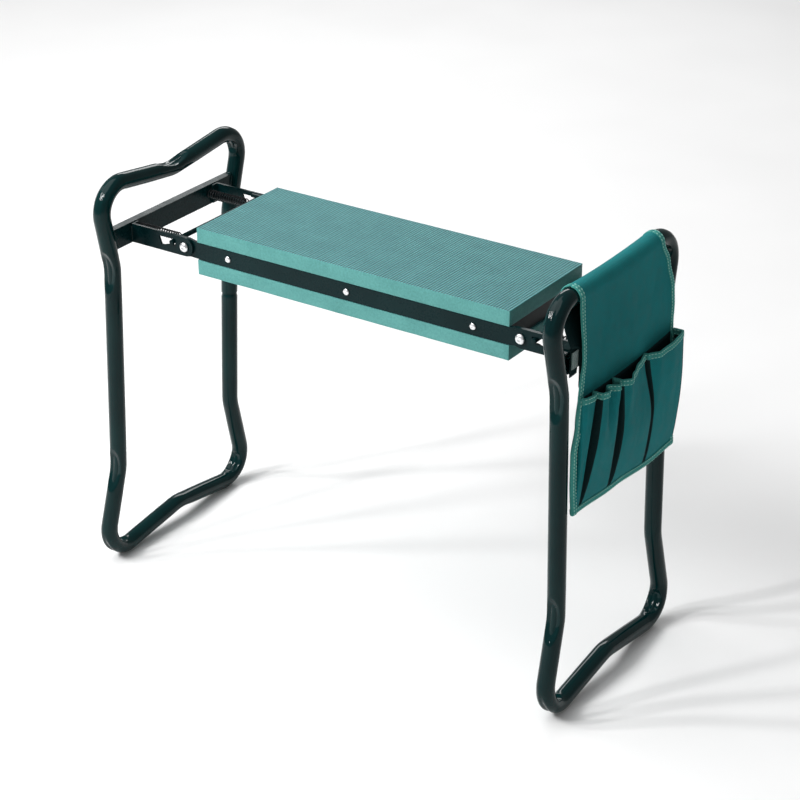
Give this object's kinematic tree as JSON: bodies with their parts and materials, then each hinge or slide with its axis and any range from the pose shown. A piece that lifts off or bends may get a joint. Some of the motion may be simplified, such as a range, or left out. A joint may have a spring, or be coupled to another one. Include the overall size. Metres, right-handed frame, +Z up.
{
  "type": "garden kneeler seat",
  "caption": "Folding garden kneeler seat: foam-padded bench between two swing-in steel tube leg frames, with a pocketed fabric tool bag hung over one handle.",
  "frame": {"origin": "centre of the bounding box's bottom face, on the floor under the seat", "axes": "+X along the seat towards the tool bag's end, +Y across the seat away from the viewer, +Z up"},
  "size_m": [0.6307, 0.2688, 0.4825],
  "materials": {
    "paint": "gloss very dark green paint",
    "rail_paint": "satin very dark green paint",
    "zinc": "bright zinc plate",
    "spring_steel": "oiled black spring wire",
    "foam": "matte green closed-cell foam",
    "board": "matte black moulding",
    "cloth": "woven teal cloth",
    "hook_loop": "hook-and-loop tape"
  },
  "bodies": {
    "seat": {"top_foam_pad": "foam", "bottom_foam_pad": "foam", "seat_board": "board", "front_seat_rail": "rail_paint", "rear_seat_rail": "rail_paint", "front_left_rivet": "zinc", "front_mid_rivet": "zinc", "front_right_rivet": "zinc", "rear_left_rivet": "zinc", "rear_mid_rivet": "zinc", "rear_right_rivet": "zinc", "left_front_pivot_bolt": "zinc", "left_front_washer": "zinc", "left_front_nut": "zinc", "left_rear_pivot_bolt": "zinc", "left_rear_washer": "zinc", "left_rear_nut": "zinc", "right_front_pivot_bolt": "zinc", "right_front_washer": "zinc", "right_front_nut": "zinc", "right_rear_pivot_bolt": "zinc", "right_rear_washer": "zinc", "right_rear_nut": "zinc"},
    "left_leg": {"left_tube_frame": "paint", "left_crossbar": "paint", "left_front_bracket": "paint", "left_rear_bracket": "paint", "left_front_lock_spring": "spring_steel", "left_rear_lock_spring": "spring_steel"},
    "right_leg": {"right_tube_frame": "paint", "right_crossbar": "paint", "right_front_bracket": "paint", "right_rear_bracket": "paint", "right_front_lock_spring": "spring_steel", "right_rear_lock_spring": "spring_steel", "tool_bag_panel": "cloth", "tool_bag_pockets": "cloth", "tool_bag_front_strap": "cloth", "tool_bag_rear_strap": "cloth", "tool_bag_front_hook_patch": "hook_loop", "tool_bag_rear_hook_patch": "hook_loop"},
    "left_lock": {"left_lock_rod": "paint"},
    "right_lock": {"right_lock_rod": "paint"}
  },
  "joints": [
    {"name": "left_leg_fold", "type": "hinge", "parent": "seat", "child": "left_leg", "pos_m": [-0.2108, 0, 0.40684], "axis": [0, -1, 0], "range_deg": [0, 84]},
    {"name": "right_leg_fold", "type": "hinge", "parent": "seat", "child": "right_leg", "pos_m": [0.2192, 0, 0.40684], "axis": [0, 1, 0], "range_deg": [0, 91]},
    {"name": "left_lock_slide", "type": "slide", "parent": "left_leg", "child": "left_lock", "axis": [-1, 0, 0], "range_m": [0, 0.013], "stiffness_N_per_m": 300, "deforming": ["left_front_lock_spring", "left_rear_lock_spring"]},
    {"name": "right_lock_slide", "type": "slide", "parent": "right_leg", "child": "right_lock", "axis": [1, 0, 0], "range_m": [0, 0.013], "stiffness_N_per_m": 300, "deforming": ["right_front_lock_spring", "right_rear_lock_spring"]}
  ]
}
